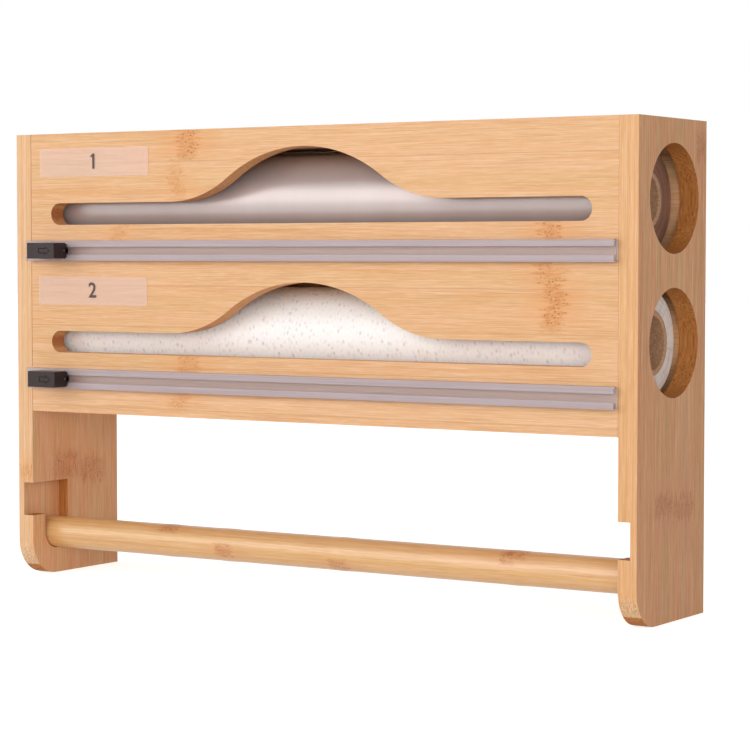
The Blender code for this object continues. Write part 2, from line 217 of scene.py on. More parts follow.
# Bamboo board: sawn strips of culm glued side by side, planed, sanded and sealed with matt lacquer.
# The eye sees long pale and tan streaks, fine fibres, a mottled knuckle across some strips,
# and dots where the fibres are cut across at the ends.
bamboo = {
    "stripWidth": 19.5,       # mm, one strip
    "stripShift": 370,        # mm, how far apart on the culm neighbouring strips grew
    "seamWidth": 0.35,        # mm, glue line between strips
    "bandLength": 240,        # mm, broad bands, pinkish or olive
    "bandWidth": 7,
    "streakLength": 110,      # mm
    "streakWidth": 0.9,
    "flameLength": 190,       # mm, rare tan flames
    "flameWidth": 3.4,
    "fibreLength": 24,        # mm; real fibres are 0.2 mm wide, too fine to show
    "fibreWidth": 0.45,
    "fibreShare": 0.48,       # how strongly the fibres stand out
    "fleckLength": 7,         # mm, short pale and dark flecks in the fibres
    "fleckWidth": 0.42,
    "fleckShare": 0.24,
    "bundleLength": 30,       # mm, vessel bundles, dots at the ends
    "bundleWidth": 0.75,
    "dotShare": 0.7,          # how strongly the cut bundles stand out
    "dashShare": 0.14,        # and the uncut ones
    "mottleLength": 2.6,      # mm, squiggles in a knuckle
    "mottleWidth": 0.8,
    "poreLength": 2.0,        # mm, small dark pores in a knuckle
    "poreWidth": 1.4,
    "raggedness": 9,          # mm, how far the edge of a knuckle wanders
    "wanderLength": 40,       # mm, how slowly it wanders
    "wanderWidth": 1.3,
    "knuckleFade": (1.2, 0.7),     # of its half size, from where it fades in to where it is full
    "glowFade": (1.0, 0.25),
    "glowStretch": 4,         # how much longer than its knuckle the glow is
    "glowShare": 0.65,
    "streaks": ((0.30, "E7B380"), (0.47, "EAB989"), (0.62, "ECBE8F"), (0.78, "EFC59A")),
    "bandTint": "EFBC90",
    "oliveTint": "E3B67F",
    "stripTint": "E2A973",
    "flameTint": "DE9E5E",
    "darkFibre": "CF9660",
    "paleFibre": "FADFC0",
    "endTint": "ECCBA2",      # cut fibre ends
    "endShare": 0.6,
    "endOn": (0.15, 0.5),     # from which slope on a cut counts as end grain
    "bundleTint": "94592C",
    "seamTint": "C08A56",
    "glowTint": "E9A76E",     # tan wood on both sides of a knuckle
    "knuckleTint": "D28A49",
    "speckTint": "8E4526",
    "roughness": 0.46,
    "shine": 0.28,            # the matt lacquer hardly mirrors the room
    "reliefDepth": 0.05,      # mm
}


def makeBamboo(name, axes, seamAt, knuckles, look=bamboo):
    material, tree, shader = newMaterial(name, Specular_IOR_Level=look["shine"])
    place = addNode(tree, "SeparateXYZ", {0: addNode(tree, "TexCoord").outputs["Object"]})
    along, across, deep = (place.outputs[axis] for axis in axes)
    strip = addNode(tree, "Math", {0: across, 1: 1 / (look["stripWidth"] * mm),
                                   2: -seamAt / look["stripWidth"]}, operation="MULTIPLY_ADD")
    number = addNode(tree, "Math", {0: strip}, operation="FLOOR")
    tone = addNode(tree, "TexWhiteNoise", {"W": number}, noise_dimensions="1D")
    shifted = addNode(tree, "Math", {0: number, 1: look["stripShift"] * mm, 2: along},
                      operation="MULTIPLY_ADD")
    grain = addNode(tree, "CombineXYZ", {0: shifted, 1: across, 2: deep})

    def stretched(kind, part, **sockets):
        width = look[part + "Width"]
        return sizePattern(tree, kind, grain, (look[part + "Length"], width, width), **sockets)

    bands = stretched("TexNoise", "band", Detail=1)
    streaks = stretched("TexNoise", "streak", Detail=3, Roughness=0.6)
    flames = stretched("TexNoise", "flame", Detail=2, Roughness=0.5, Distortion=0.2)
    fibres = stretched("TexNoise", "fibre", Detail=3, Roughness=0.6)
    flecks = stretched("TexNoise", "fleck", Detail=2)
    bundles = stretched("TexVoronoi", "bundle", Randomness=0.85)
    mottle = stretched("TexNoise", "mottle", Detail=3, Roughness=0.6, Distortion=0.5)
    pores = stretched("TexVoronoi", "pore")
    wander = stretched("TexNoise", "wander", Detail=2)

    # how squarely the fibres are cut across
    cutAcross = facingAlong(tree, axes[0])
    cutStart, cutFull = look["endOn"]
    bundleShare = addNode(tree, "MapRange", {0: cutAcross, 1: cutStart, 2: cutFull,
                                             3: look["dashShare"], 4: look["dotShare"]})
    dots = addNode(tree, "MapRange", {0: bundles, 1: 0.44, 2: 0.26, 3: 0, 4: 1})
    bundleMask = addNode(tree, "Math", {0: dots, 1: bundleShare}, operation="MULTIPLY")
    seamGap = addNode(tree, "Math", {0: strip, 1: 0.5}, operation="PINGPONG")
    seamMask = addNode(tree, "MapRange", {0: seamGap, 1: 0, 2: look["seamWidth"] / look["stripWidth"],
                                          3: 0.5, 4: 0})

    # each knuckle is a soft box with ragged ends, centred at (along, across), in a longer glow
    jagged = addNode(tree, "Math", {0: wander, 1: look["raggedness"] * mm * 2, 2: along},
                     operation="MULTIPLY_ADD")
    spot = addNode(tree, "CombineXYZ", {0: jagged, 1: across, 2: 0.0})
    knuckle = glow = 0
    for middle, height, halfLength, halfWidth, strength in knuckles:
        centre = ((middle + look["raggedness"]) * mm, height * mm, 0)
        offset = addNode(tree, "VectorMath", {0: spot, 1: centre}, operation="SUBTRACT")
        share = addNode(tree, "VectorMath", {0: offset, 1: (1 / halfLength / mm, 1 / halfWidth / mm, 0)},
                        operation="MULTIPLY")
        size = addNode(tree, "VectorMath", {0: share}, operation="ABSOLUTE")
        sides = addNode(tree, "SeparateXYZ", {0: size})
        reach = addNode(tree, "Math", {0: sides.outputs[0], 1: sides.outputs[1]}, operation="MAXIMUM")
        eased = addNode(tree, "Math", {0: sides.outputs[0], 1: 1 / look["glowStretch"]},
                        operation="MULTIPLY")
        glowReach = addNode(tree, "Math", {0: eased, 1: sides.outputs[1]}, operation="MAXIMUM")
        start, full = look["knuckleFade"]
        inside = addNode(tree, "MapRange", {0: reach, 1: start, 2: full, 3: 0, 4: strength})
        start, full = look["glowFade"]
        around = addNode(tree, "MapRange", {0: glowReach, 1: start, 2: full, 3: 0,
                                            4: strength * look["glowShare"]})
        knuckle = addNode(tree, "Math", {0: knuckle, 1: inside}, operation="MAXIMUM")
        glow = addNode(tree, "Math", {0: glow, 1: around}, operation="MAXIMUM")
    mottling = addNode(tree, "MapRange", {0: mottle, 1: 0.40, 2: 0.62, 3: 0.2, 4: 0.9})
    knuckleMask = addNode(tree, "Math", {0: knuckle, 1: mottling}, operation="MULTIPLY")
    specks = addNode(tree, "MapRange", {0: pores, 1: 0.32, 2: 0.12, 3: 0, 4: 0.7})
    speckMask = addNode(tree, "Math", {0: knuckle, 1: specks}, operation="MULTIPLY")

    base = addNode(tree, "ValToRGB", {0: streaks})
    fillRamp(base, look["streaks"])
    colour = layColours(tree, base, (
        (bands, 0.48, 0.62, 0.65, look["bandTint"]),
        (bands, 0.47, 0.34, 0.65, look["oliveTint"]),
        (tone, 0, 1, 0.45, look["stripTint"]),
        (flames, 0.57, 0.72, 0.55, look["flameTint"]),
        (fibres, 0.48, 0.30, look["fibreShare"], look["darkFibre"]),
        (fibres, 0.54, 0.72, look["fibreShare"] - 0.1, look["paleFibre"]),
        (flecks, 0.52, 0.72, look["fleckShare"], look["paleFibre"]),
        (flecks, 0.44, 0.24, look["fleckShare"], look["darkFibre"]),
        (glow, 0, 1, 1, look["glowTint"]),
        (cutAcross, cutStart, cutFull, look["endShare"], look["endTint"]),
        (bundleMask, 0, 1, 1, look["bundleTint"]),
        (knuckleMask, 0, 1, 1, look["knuckleTint"]),
        (speckMask, 0, 1, 1, look["speckTint"]),
        (seamMask, 0, 1, 1, look["seamTint"])))
    roughness = addNode(tree, "MapRange", {0: fibres, 1: 0.3, 2: 0.7, 3: look["roughness"] - 0.06,
                                           4: look["roughness"] + 0.06})
    relief = addNode(tree, "Bump", {"Height": fibres, "Strength": 0.35,
                                    "Distance": look["reliefDepth"] * mm})
    linkFinish(tree, shader, colour, roughness, relief)
    return material


# Painted shade: the right side board gets a darker, browner copy of the bamboo, standing in for the shade
# on its outer face
shadedSideBamboo = {
    **bamboo,
    "streaks": ((0.30, "CC8C53"), (0.47, "DB9E69"), (0.62, "E2AA78"), (0.78, "EEBD91")),
    "bandTint": "DD956A",
    "oliveTint": "CC9D6E",
    "stripTint": "CD9257",
    "flameTint": "C28250",
    "fibreShare": 0.7,
    "darkFibre": "AE7040",
    "paleFibre": "F1CBA4",
    "endTint": "E4C09A",
    "glowTint": "D79069",
    "knuckleTint": "B57140",
    "speckTint": "844524",
}
# Where a side board's front edge is planed, the strips show from their lighter side
edgeBamboo = {
    **bamboo,
    "stripWidth": 3.1,
    "streaks": ((0.30, "E5AD74"), (0.47, "E9B37D"), (0.62, "EBB984"), (0.78, "EFC190")),
    "bandTint": "EDB583",
    "oliveTint": "E4B079",
    "stripTint": "E5A96F",
    "flameTint": "E2A468",
    "fibreShare": 0.4,
    "seamTint": "D29A62",
    "bundleWidth": 0.55,
}

# Knuckles: (along the grain, across it, half length, half width) in mm, and how strongly each shows
frontBamboo = makeBamboo("lacquered bamboo, front board", "XZY", 7.2, (
    (-66, 211, 6, 8.5, 0.95), (-72, 192, 4, 9, 0.5), (-106, 169, 4, 5, 0.5), (128, 169, 5, 6, 0.9),
    (125, 152, 4.5, 5, 0.75), (130, 138.5, 5, 13, 1), (-64, 108, 6, 9, 0.7), (-70, 93, 5, 8, 0.55)))
# Painted light: the left side board gets a lighter, redder copy of the bamboo, standing in for light on its
# shaded inner face
leftLitBamboo = makeBamboo("lacquered bamboo, left side board, painted light", "ZYX", -9.4, (
    (54, 0.3, 7, 10, 0.9), (50, 19.8, 6, 10, 0.85)), {
    **bamboo,
    "streaks": ((0.30, "EAAB74"), (0.47, "F0B986"), (0.62, "F4C08F"), (0.78, "F7CB9F")),
    "bandTint": "F0AB7E",
    "oliveTint": "E4B784",
    "stripTint": "E6A570",
    "knuckleTint": "CF7F54",
})
rightEdge = makeBamboo("lacquered bamboo, edge of the right side board", "ZXY", 0.6, (), edgeBamboo)
# Painted sheen: the left board's front edge gets a paler copy of the edge bamboo, standing in for a haze of
# light on it
leftSheenEdge = makeBamboo("lacquered bamboo, edge of the left side board", "ZXY", 0.6, (
    (51, -165, 3, 4, 0.8),), {
    **edgeBamboo,
    "streaks": ((0.30, "E9B684"), (0.47, "EDBD8E"), (0.62, "F0C69A"), (0.78, "F5D1AA")),
    "bandTint": "F2C19A",
    "oliveTint": "E6BC8A",
    "stripTint": "E9B582",
})
# Painted shade: the darker, browner copy of the bamboo
rightShadedBamboo = makeBamboo("lacquered bamboo, right side board, painted shade", "ZYX", -9.2, (
    (51, 0.5, 5, 10, 0.9), (49, 20, 5, 10, 0.9), (206, 35, 6, 5, 0.9)), shadedSideBamboo)
shelfBamboo = makeBamboo("lacquered bamboo, top and shelves", "XYZ", -5, (
    (-80, 4, 6, 9, 0.7), (72, 24, 6, 9, 0.7)))
backBamboo = makeBamboo("lacquered bamboo, back board", "XZY", 5, (
    (-40, 130, 6, 9, 0.8), (95, 165, 6, 9, 0.8)))

# Where a router has cut through a board, the walls are darker: a little scorch from its bit, and painted
# shade standing in for the shade inside the cut-outs
routed = {
    **bamboo,
    "streaks": ((0.30, "E0A268"), (0.47, "EAB07A"), (0.62, "F0B986"), (0.78, "F6C696")),
    "bandTint": "E6A874",
    "oliveTint": "DCA268",
    "stripTint": "DF9F64",
    "flameTint": "CC8649",
    "fibreShare": 0.75,
    "darkFibre": "B06F38",
    "paleFibre": "F4C088",
    "endTint": "A84E14",      # darkest on the end grain: scorch, and painted shade on the ends of the slots
    "endOn": (0.75, 0.97),
    "dotShare": 0.35,
    "bundleTint": "7C4418",
    "seamTint": "B9783A",
    "glowTint": "D28C48",
    "roughness": 0.62,
}
routedAcrossShaded = makeBamboo("routed bamboo with painted shade, grain across", "XZY", 7.2, (), routed)
# Painted shade: the walls of the holes and the notch in the side boards get a much darker copy, standing in
# for the shade inside them
routedUprightShaded = makeBamboo("routed bamboo with painted shade, grain upright", "ZYX", -9.2, (), {
    **routed,
    "streaks": ((0.30, "B87238"), (0.47, "C57F40"), (0.62, "CD8948"), (0.78, "D69655")),
    "bandTint": "C0793A",
    "oliveTint": "BA7C3A",
    "stripTint": "BE783A",
    "fibreWidth": 0.9,
    "darkFibre": "7F4318",
    "paleFibre": "DDA564",
    "endTint": "AC672A",
    "dotShare": 0.12,
})

# The rod is turned bamboo under a warm satin varnish, so it is deeper in colour and has a soft shine
rodBamboo = makeBamboo("varnished bamboo rod", "XZY", 10.5, (
    (-87, 27.4, 5, 2.6, 0.8), (-53, 18.5, 5, 3.6, 0.9), (103, 27.6, 6, 2.8, 0.9), (101, 24, 4, 1.6, 0.7),
    (12, 16, 5, 3, 0.8)), {
    **bamboo,
    "stripWidth": 7.5,
    "raggedness": 4,
    "streaks": ((0.30, "DDA668"), (0.47, "E6B478"), (0.62, "EDBF88"), (0.78, "F3CC9B")),
    "bandTint": "EBB684",
    "oliveTint": "E0AE68",
    "stripTint": "E2AA6C",
    "flameTint": "CE8F4A",
    "fibreShare": 0.45,
    "darkFibre": "C88D4C",
    "paleFibre": "F6D4A6",
    "endTint": "E8BE8C",
    "bundleTint": "9C672F",
    "seamTint": "D09C64",
    "glowTint": "E0A068",
    "knuckleTint": "BE7038",
    "speckTint": "84482A",
    "roughness": 0.33,
    "shine": 0.85,
})
print("bamboo ready")


# Beech dowel: closed, even grain with short dark rays
def makeBeech():
    look = {"pale": "DDB68C", "tan": "C99C6E", "ray": "A97848", "rayLength": 2.5, "rayWidth": 0.35}
    material, tree, shader = newMaterial("turned beech dowel")
    place = addNode(tree, "TexCoord").outputs["Object"]
    rays = sizePattern(tree, "TexNoise", place, (look["rayLength"], look["rayWidth"], look["rayWidth"]),
                       Detail=3)
    base = addNode(tree, "ValToRGB", {0: rays})
    fillRamp(base, ((0.3, look["ray"]), (0.45, look["tan"]), (0.7, look["pale"])))
    roughness = addNode(tree, "MapRange", {0: rays, 1: 0.3, 2: 0.7, 3: 0.6, 4: 0.75})
    addLink(tree, base, shader.inputs["Base Color"])
    addLink(tree, roughness, shader.inputs["Roughness"])
    return material


# Coordinates on a roll that lies along X: along it, round it, and out from its axis, in metres
def rollPlace(tree, axisY, axisZ, radius):
    place = addNode(tree, "SeparateXYZ", {0: addNode(tree, "TexCoord").outputs["Object"]})
    forward = addNode(tree, "Math", {0: place.outputs["Y"], 1: axisY}, operation="SUBTRACT")
    upward = addNode(tree, "Math", {0: place.outputs["Z"], 1: axisZ}, operation="SUBTRACT")
    # the angle is counted from the front of the roll, so the seam lies at its back
    back = addNode(tree, "Math", {0: forward, 1: -1}, operation="MULTIPLY")
    angle = addNode(tree, "Math", {0: upward, 1: back}, operation="ARCTAN2")
    around = addNode(tree, "Math", {0: angle, 1: radius}, operation="MULTIPLY")
    flat = addNode(tree, "CombineXYZ", {0: forward, 1: upward})
    out = addNode(tree, "VectorMath", {0: flat}, operation="LENGTH")
    return addNode(tree, "CombineXYZ", {0: place.outputs["X"], 1: around, 2: out.outputs["Value"]})


# Cling film: thin milky polyethylene, embossed with small pips, wound many turns deep.
# The pips show as grey specks, the turns as faint bands round the roll and as rings at its ends.
def makeFilm(axisY, axisZ, radius):
    look = {
        "pipSpacing": 2.1,        # mm; real pips are closer, too fine to show
        "pipSize": 0.62,
        "fineSpacing": 1.2,
        "bandWidth": 9,           # mm, faint bands round the roll
        "bandLength": 60,
        "ringLength": 14,
        "turn": 0.25,             # mm; one turn is 0.01 mm, too fine to show
        "milk": "FFFDFB",
        "veil": "FCF9F7",
        "shade": "F3EEED",
        "pip": "A0969C",
        "ring": "DCC6B4",
        "reliefDepth": 0.14,      # mm
    }
    material, tree, shader = newMaterial("embossed polyethylene film", Subsurface_Weight=0.25,
                                         Subsurface_Scale=3 * mm, Specular_IOR_Level=0.8)
    place = rollPlace(tree, axisY, axisZ, radius)

    def spaced(kind, *size, **sockets):
        return sizePattern(tree, kind, place, size, **sockets)

    spacing = look["pipSpacing"]
    pips = spaced("TexVoronoi", spacing, spacing * 1.5, endless, Randomness=0.85)
    fine = spaced("TexNoise", look["fineSpacing"], look["fineSpacing"] * 1.7, endless, Detail=2)
    bands = spaced("TexNoise", look["bandWidth"], look["bandLength"], endless, Detail=3)
    rings = spaced("TexNoise", endless, look["ringLength"], look["turn"], Detail=2)
    # some pips are pressed deeper than others
    press = spaced("TexNoise", spacing * 1.7, spacing * 1.7, endless, Detail=1)
    pressed = addNode(tree, "MapRange", {0: press, 1: 0.38, 2: 0.60, 3: 0.12, 4: 0.5})
    dots = addNode(tree, "MapRange", {0: pips, 1: look["pipSize"] / spacing * 1.6,
                                      2: look["pipSize"] / spacing * 0.2, 3: 0, 4: 1})
    pipMask = addNode(tree, "Math", {0: dots, 1: pressed}, operation="MULTIPLY")
    ringShare = addNode(tree, "MapRange", {0: facingAlong(tree, "X"), 1: 0.4, 2: 0.8, 3: 0, 4: 0.75})
    ringLines = addNode(tree, "MapRange", {0: rings, 1: 0.46, 2: 0.62})
    ringMask = addNode(tree, "Math", {0: ringLines, 1: ringShare}, operation="MULTIPLY")
    base = addNode(tree, "ValToRGB", {0: bands})
    fillRamp(base, ((0.3, look["veil"]), (0.5, look["milk"])))
    colour = layColours(tree, base, (
        (fine, 0.5, 0.3, 0.7, look["shade"]),
        (pipMask, 0, 1, 1, look["pip"]),
        (ringMask, 0, 1, 1, look["ring"])))
    roughness = addNode(tree, "MapRange", {0: bands, 1: 0.3, 2: 0.7, 3: 0.36, 4: 0.5})
    heights = addNode(tree, "Math", {0: pipMask, 1: fine}, operation="ADD")
    relief = addNode(tree, "Bump", {"Height": heights, "Strength": 0.4,
                                    "Distance": look["reliefDepth"] * mm})
    linkFinish(tree, shader, colour, roughness, relief)
    return material


# Aluminium foil: rolled thin, matt side out. Rolling leaves fine lines round the roll,
# and the slack turns give soft bands and a satin, slightly uneven shine.
def makeFoil(axisY, axisZ, radius):
    look = {
        "lineWidth": 2.6,         # mm; real rolling lines are under 0.1 mm, too fine to show
        "lineLength": 60,
        "bandWidth": 16,
        "bandLength": 40,
        "ringLength": 20,
        "turn": 0.3,              # mm; one turn is 0.015 mm, too fine to show
        "metal": "BEB2B0",
        "dull": "B9ACA9",
        # Painted reflection and shade: the ends are brown, standing in for the wood that they mirror in the
        # shade of the case; the rings of the turns are darker still
        "end": "A07B6A",
        "edge": "8C6B5C",
        "reliefDepth": 0.003,     # mm
    }
    material, tree, shader = newMaterial("rolled aluminium foil", Metallic=0.35)
    place = rollPlace(tree, axisY, axisZ, radius)

    def spaced(*size, **sockets):
        return sizePattern(tree, "TexNoise", place, size, **sockets)

    lines = spaced(look["lineWidth"], look["lineLength"], endless, Detail=1)
    bands = spaced(look["bandWidth"], look["bandLength"], endless, Detail=2)
    rings = spaced(endless, look["ringLength"], look["turn"], Detail=2)
    endShare = addNode(tree, "MapRange", {0: facingAlong(tree, "X"), 1: 0.4, 2: 0.8, 3: 0, 4: 1})
    ringLines = addNode(tree, "MapRange", {0: rings, 1: 0.45, 2: 0.65})
    ringMask = addNode(tree, "Math", {0: ringLines, 1: endShare}, operation="MULTIPLY")
    base = addNode(tree, "ValToRGB", {0: bands})
    fillRamp(base, ((0.3, look["dull"]), (0.7, look["metal"])))
    colour = layColours(tree, base, (
        (lines, 0.45, 0.3, 0.3, look["dull"]),
        # painted reflection and shade on the ends
        (endShare, 0, 1, 1, look["end"]),
        (ringMask, 0, 1, 1, look["edge"])))
    roughness = addNode(tree, "MapRange", {0: lines, 1: 0.3, 2: 0.7, 3: 0.31, 4: 0.34})
    relief = addNode(tree, "Bump", {"Height": lines, "Strength": 0.3,
                                    "Distance": look["reliefDepth"] * mm})
    linkFinish(tree, shader, colour, roughness, relief)
    return material


# Kraft tube: strips of brown paper wound in a spiral, with the plies showing at the cut ends
def makeKraft(name, axisY, axisZ, radius):
    look = {
        "spiralPitch": 62,        # mm along the tube for one turn of the seam
        "seamWidth": 0.9,
        "pulp": 0.8,              # mm, clumps of fibre
        "ply": 0.45,
        "reliefDepth": 0.08,
        "pale": "D5AD86",
        "brown": "B2856A",
        "seam": "A0764E",
    }
    material, tree, shader = newMaterial(name)
    place = rollPlace(tree, axisY, axisZ, radius)
    parts = addNode(tree, "SeparateXYZ", {0: place})
    turns = addNode(tree, "Math", {0: parts.outputs["Y"], 1: 1 / (2 * pi * radius)}, operation="MULTIPLY")
    spiral = addNode(tree, "Math", {0: parts.outputs["X"], 1: 1 / (look["spiralPitch"] * mm), 2: turns},
                     operation="MULTIPLY_ADD")
    gap = addNode(tree, "Math", {0: spiral, 1: 0.5}, operation="PINGPONG")
    seam = addNode(tree, "MapRange", {0: gap, 1: 0, 2: look["seamWidth"] / look["spiralPitch"], 3: 0.3,
                                      4: 0})
    pulp = sizePattern(tree, "TexNoise", place, [look["pulp"]] * 3, Detail=4, Roughness=0.65)
    plies = addNode(tree, "Math", {0: parts.outputs["Z"], 1: 1 / (look["ply"] * mm)},
                    operation="MULTIPLY")
    plyGap = addNode(tree, "Math", {0: plies, 1: 0.5}, operation="PINGPONG")
    plyLines = addNode(tree, "MapRange", {0: plyGap, 1: 0.12, 2: 0, 3: 0, 4: 0.5})
    endShare = addNode(tree, "MapRange", {0: facingAlong(tree, "X"), 1: 0.5, 2: 0.9, 3: 0, 4: 1})
    plyMask = addNode(tree, "Math", {0: plyLines, 1: endShare}, operation="MULTIPLY")
    base = addNode(tree, "ValToRGB", {0: pulp})
    fillRamp(base, ((0.35, look["brown"]), (0.62, look["pale"])))
    colour = layColours(tree, base, ((seam, 0, 1, 1, look["seam"]), (plyMask, 0, 1, 1, look["seam"])))
    roughness = addNode(tree, "MapRange", {0: pulp, 1: 0.3, 2: 0.7, 3: 0.8, 4: 0.95})
    relief = addNode(tree, "Bump", {"Height": pulp, "Strength": 0.4,
                                    "Distance": look["reliefDepth"] * mm})
    linkFinish(tree, shader, colour, roughness, relief)
    return material


# A finish that is even but for a fine grain: colour, roughness and relief follow one noise.
# The grain's size and the relief's depth are in mm.
def makeGrained(name, pale, dark, grain, relief, roughness, **sockets):
    material, tree, shader = newMaterial(name, **sockets)
    place = addNode(tree, "TexCoord").outputs["Object"]
    noise = sizePattern(tree, "TexNoise", place, grain, Detail=3, Roughness=0.6)
    base = addNode(tree, "ValToRGB", {0: noise})
    fillRamp(base, ((0.35, dark), (0.65, pale)))
    polish = addNode(tree, "MapRange", {0: noise, 1: 0.3, 2: 0.7, 3: roughness - 0.05, 4: roughness + 0.07})
    bump = addNode(tree, "Bump", {"Height": noise, "Strength": 0.5, "Distance": relief * mm})
    linkFinish(tree, shader, base, polish, bump)
    return material


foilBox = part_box("foil_winding")
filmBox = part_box("film_winding")
rollRadius = (foilBox[1].z - foilBox[0].z) / 2
rollY = (foilBox[0].y + foilBox[1].y) / 2
foilZ = (foilBox[0].z + foilBox[1].z) / 2
filmZ = (filmBox[0].z + filmBox[1].z) / 2

beech = makeBeech()
film = makeFilm(rollY, filmZ, rollRadius)
foil = makeFoil(rollY, foilZ, rollRadius)
foilKraft = makeKraft("spiral kraft tube, foil", rollY, foilZ, rollRadius / 2)
filmKraft = makeKraft("spiral kraft tube, film", rollY, filmZ, rollRadius / 2)

# Extruded PVC: the die leaves faint lines along the rail, and light passes through it, blurred
frostedPvc = makeGrained("frosted extruded PVC", "ECE0E4", "E0D1D5", (60, 0.6, 0.6), 0.02, 0.34,
                         Transmission_Weight=0.65, IOR=1.53)
# Between its lips the rail gets a browner copy of the plastic: painted show-through, standing in for the
# wood seen through it
pvcPaintedShowThrough = makeGrained("frosted PVC, painted show-through", "EAD2C5", "DEC4B7", (60, 0.6, 0.6), 0.02, 0.34,
                      Transmission_Weight=0.65, IOR=1.53)
# Injection moulded ABS: near black, with the fine spark-eroded grain of its mould
blackAbs = makeGrained("black moulded ABS", "31221F", "231716", (0.35, 0.35, 0.35), 0.02, 0.34, IOR=1.54,
                       Specular_IOR_Level=0.28)
# Hardened steel strip: ground along its length
groundSteel = makeGrained("ground steel blade", "8C8C90", "707074", (6, 0.25, 0.25), 0.01, 0.40,
                          Metallic=1.0)
# Pressed steel plate with bright zinc: a cool grey with a fine rolled grain
zincSteel = makeGrained("bright zinc plated steel", "C7CACD", "A3A7AB", (0.4, 0.4, 6), 0.01, 0.32,
                        Metallic=1.0)
# Dried wood glue: amber and slightly glassy, uneven where it was wiped
woodGlue = makeGrained("dried wood glue", "E2B27E", "D09E68", (6, 6, 6), 0.02, 0.4)
# Foam tape: white polyethylene foam, dull and fine celled
foamTape = makeGrained("white foam tape", "F1EFEC", "DDDAD6", (0.4, 0.4, 0.4), 0.05, 0.85)
# Clear label: polyester film with a faint pink cast; the wood shows through it, paler
clearLabel = makeGrained("clear polyester label", "FFECE0", "FFE9DC", (18, 18, 18), 0.01, 0.3,
                         Alpha=0.24)
# Screen ink: dark brown, flat, slightly uneven at the edges
printInk = makeGrained("dark brown screen ink", "5E4034", "4E3328", (0.8, 0.8, 0.8), 0.01, 0.55)
print("materials ready")


# Case: the boards have the CAD's shape, with their edges sanded round
case = {
    "edge": 0.25 * mm,
    "edgeReach": -20 * mm,       # the front edges lie in front of this
    "boards": (
        ("leftSideBoard", "left_side_panel", leftLitBamboo, "bamboo_board"),
        ("rightSideBoard", "right_side_panel", rightShadedBamboo, "bamboo_board"),
        ("frontBoard", "front_panel", frontBamboo, "bamboo_board"),
        ("topBoard", "top_panel", shelfBamboo, "bamboo_board"),
        ("middleShelf", "middle_shelf", shelfBamboo, "bamboo_board"),
        ("bottomShelf", "bottom_shelf", shelfBamboo, "bamboo_board"),
        ("backBoard", "back_panel", backBamboo, "back_board"),
    ),
}


# Gives the routed material, with its scorch and painted shade, to the walls of the cut-outs: faces across
# the board, inside its outline
def paintCutouts(board, material, thickness):
    low, high = (Vector(corner) for corner in (board.bound_box[0], board.bound_box[6]))
    board.data.materials.append(material)
    for face in board.data.polygons:
        inside = all(low[axis] + mm < face.center[axis] < high[axis] - mm
                     for axis in range(3) if axis != thickness)
        face.material_index = int(inside and abs(face.normal[thickness]) < 0.5)


for name, node, material, slot in case["boards"]:
    board = copyNode(node, name)
    settle(board, material, "case", slot, node)
    if name == "frontBoard":
        paintCutouts(board, routedAcrossShaded, 1)
    if name.endswith("SideBoard"):
        paintCutouts(board, routedUprightShaded, 0)
        board.data.materials.append(rightEdge if name == "rightSideBoard" else leftSheenEdge)
        for face in board.data.polygons:
            if face.normal.y < -0.5 and face.center.y < case["edgeReach"]:
                face.material_index = len(board.data.materials) - 1
    easeEdges(board, case["edge"])

# Dried glue in the joints: the CAD keeps 0.3 mm between boards, which is filled here a little below
# the surface
glue = {
    "recess": 0.12 * mm,
    "leftRecess": 0.5 * mm,      # the left joint shows as a fine groove
    "inset": 0.3 * mm,
}


def fillJoint(name, low, high):
    low, high = Vector(low), Vector(high)
    bpy.ops.object.select_all(action="DESELECT")
    bpy.ops.mesh.primitive_cube_add(size=1, location=(low + high) / 2)
    strip = bpy.context.active_object
    strip.name = name
    strip.scale = high - low
    applyPlace(strip)
    settle(strip, woodGlue, "case", "bamboo_board")


frontLow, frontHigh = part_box("front_panel")
topLow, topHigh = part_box("top_panel")
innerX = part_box("right_side_panel")[0].x
inset = glue["inset"]
for side, name, recess in ((-1, "leftGlueLine", glue["leftRecess"]), (1, "rightGlueLine", glue["recess"])):
    left, right = sorted((side * frontHigh.x, side * innerX))
    fillJoint(name, (left, frontLow.y + recess, frontLow.z + inset),
              (right, frontHigh.y, frontHigh.z - glue["recess"]))
    fillJoint(name + "Top", (left, topLow.y, topLow.z + inset),
              (right, topHigh.y - inset, topHigh.z - glue["recess"]))
fillJoint("frontGlueLine", (frontLow.x, frontHigh.y, topLow.z + inset),
          (frontHigh.x, topLow.y, topHigh.z - glue["recess"]))

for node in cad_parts:
    if node.endswith("dowel"):
        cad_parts[node].material_slots[0].material = beech
print("case ready")


# Cutter rails and the tape behind them
rail = {"edge": 0.18 * mm, "lip": 0.5 * mm}
for tier in ("upper", "lower"):
    piece = copyNode(tier + "_cutter_rail", tier + "CutterRail")
    settle(piece, frostedPvc, "case", "rail_plastic", tier + "_cutter_rail")
    # faces between the lips get the painted show-through of the wood
    piece.data.materials.append(pvcPaintedShowThrough)
    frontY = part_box(tier + "_cutter_rail")[0].y
    for face in piece.data.polygons:
        face.material_index = int(face.normal.y < -0.5 and face.center.y > frontY + rail["lip"])
    easeEdges(piece, rail["edge"], 2)
    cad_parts[tier + "_rail_tape"].material_slots[0].material = foamTape
print("rails ready")


# Sliders: an outlined arrow is sunk in the front face and shows which way to push
slider = {
    "edge": 0.45 * mm,
    "crown": 0.30 * mm,          # the front is slightly domed from left to right
    "crownSteps": 8,
    "arrowLength": 6.6 * mm,
    "headLength": 2.7 * mm,
    "headHeight": 3.7 * mm,
    "shaftHeight": 2.2 * mm,
    "arrowFromRight": 2.5 * mm,
    "lineRadius": 0.32 * mm,
    "lineDepth": 0.36 * mm,
    "bladeEdge": 0.12 * mm,
}


